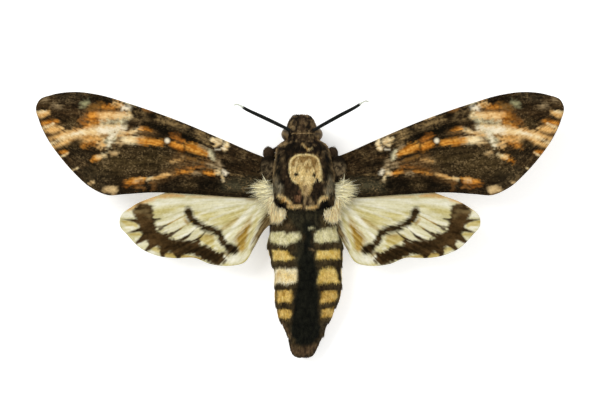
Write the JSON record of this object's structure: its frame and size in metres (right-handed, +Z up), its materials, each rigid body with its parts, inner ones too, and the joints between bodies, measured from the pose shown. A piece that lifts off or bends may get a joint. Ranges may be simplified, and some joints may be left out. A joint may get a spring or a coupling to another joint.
{
  "type": "deaths head hawkmoth",
  "caption": "Still, life-size hawkmoth with wings spread flat, stout furry body, short feelers and folded legs, lying belly down.",
  "frame": {"origin": "middle of the bounding box as seen from above, on the surface that the moth lies on", "axes": "+Z up, +Y towards the head, +X towards the moth's right wing tip"},
  "size_m": [0.12, 0.0608, 0.0146],
  "materials": {
    "body_fur": "short dense fur, matt",
    "collar_fur": "short dense fur, matt",
    "abdomen_fur": "flat-lying scales, matt, banded",
    "forewing_scales": "fine scales, matt, mottled",
    "hindwing_scales": "fine scales, matt, banded",
    "pale_hair": "long soft hair in flat locks, matt",
    "antenna_shell": "dark horn, satin",
    "eye_shell": "smooth, glossy",
    "leg_fur": "short fur, matt"
  },
  "bodies": {
    "root": {"abdomen": "abdomen_fur", "antenna_left": "antenna_shell", "antenna_right": "antenna_shell", "collar": "collar_fur", "eye_left": "eye_shell", "eye_right": "eye_shell", "foreleg_left": "leg_fur", "foreleg_right": "leg_fur", "forewing_left": "forewing_scales", "forewing_right": "forewing_scales", "head": "collar_fur", "hindleg_left": "leg_fur", "hindleg_right": "leg_fur", "hindwing_left": "hindwing_scales", "hindwing_right": "hindwing_scales", "midleg_left": "leg_fur", "midleg_right": "leg_fur", "palp_left": "collar_fur", "palp_right": "collar_fur", "proboscis": "antenna_shell", "tegula_left": "body_fur", "tegula_right": "body_fur", "thorax": "body_fur", "wing_tuft_left": "pale_hair", "wing_tuft_right": "pale_hair"}
  },
  "joints": []
}
